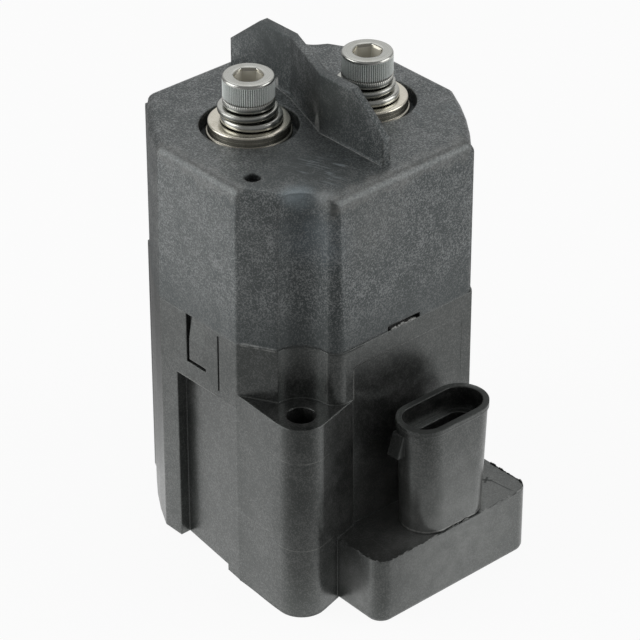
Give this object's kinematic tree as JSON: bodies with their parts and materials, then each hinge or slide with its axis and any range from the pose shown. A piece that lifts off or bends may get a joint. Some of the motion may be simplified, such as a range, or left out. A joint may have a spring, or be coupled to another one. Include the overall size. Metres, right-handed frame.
{
  "type": "high voltage dc contactor",
  "caption": "Sealed high voltage DC contactor: charcoal moulded housing with a stepped terminal barrier, screw terminals, bolt bosses on one diagonal and a front control socket.",
  "frame": {"origin": "midway between the two mounting holes, on the mounting plane under the feet", "axes": "+Z from the mounting plane up to the terminals; -Y towards the control socket; +X to the right when seen from the socket's side"},
  "size_m": [0.0594, 0.0725, 0.1004],
  "materials": {
    "cover_plastic": "charcoal moulded plastic with glass fibre, matt and slightly scuffed",
    "base_plastic": "charcoal moulded plastic with glass fibre, matt and smooth",
    "terminal_plating": "copper with dull nickel plating",
    "fastener_plating": "steel with satin nickel plating",
    "ceramic": "opaque fired ceramic",
    "copper": "bare or enamelled copper",
    "steel": "turned steel",
    "spring_steel": "drawn spring wire and strip",
    "zinc_steel": "zinc plated steel sheet",
    "bobbin_plastic": "natural moulded plastic",
    "magnet": "sintered magnet, grey",
    "board_laminate": "green laminate",
    "board_parts_plastic": "black package plastic",
    "lead_sleeve": "red lead sleeve"
  },
  "bodies": {
    "housing": {"cover": "cover_plastic", "base": "base_plastic", "tray_cover": "base_plastic", "terminal_left": "terminal_plating", "terminal_right": "terminal_plating", "terminal_screws": "fastener_plating", "lock_washers": "fastener_plating", "flat_washers": "fastener_plating", "arc_chamber": "ceramic", "sealing_flange": "steel", "fixed_core": "steel", "return_spring": "spring_steel", "core_sleeve": "steel", "bobbin": "bobbin_plastic", "coil_winding": "copper", "yoke_frame": "zinc_steel", "top_plate": "zinc_steel", "blowout_magnets": "magnet", "magnet_plates": "zinc_steel", "circuit_board": "board_laminate", "board_parts": "board_parts_plastic", "connector_pins": "terminal_plating", "coil_leads": "lead_sleeve"},
    "armature": {"shaft": "steel", "moving_core": "steel", "bridge_clip": "spring_steel", "contact_spring": "spring_steel"},
    "bridge": {"contact_bridge": "copper"}
  },
  "joints": [
    {"name": "armature_slide", "type": "slide", "parent": "housing", "child": "armature", "axis": [0, 0, 1], "range_m": [0, 0.002], "stiffness_N_per_m": 600, "springref_m": -0.004, "deforming": ["return_spring"]},
    {"name": "bridge_slide", "type": "slide", "parent": "armature", "child": "bridge", "axis": [0, 0, 1], "range_m": [-0.0005, 0], "stiffness_N_per_m": 1500, "springref_m": 0.002, "deforming": ["contact_spring"]}
  ],
  "couplings": [
    {"joint": "bridge_slide", "follows": "armature_slide", "ratio": -0.25}
  ]
}
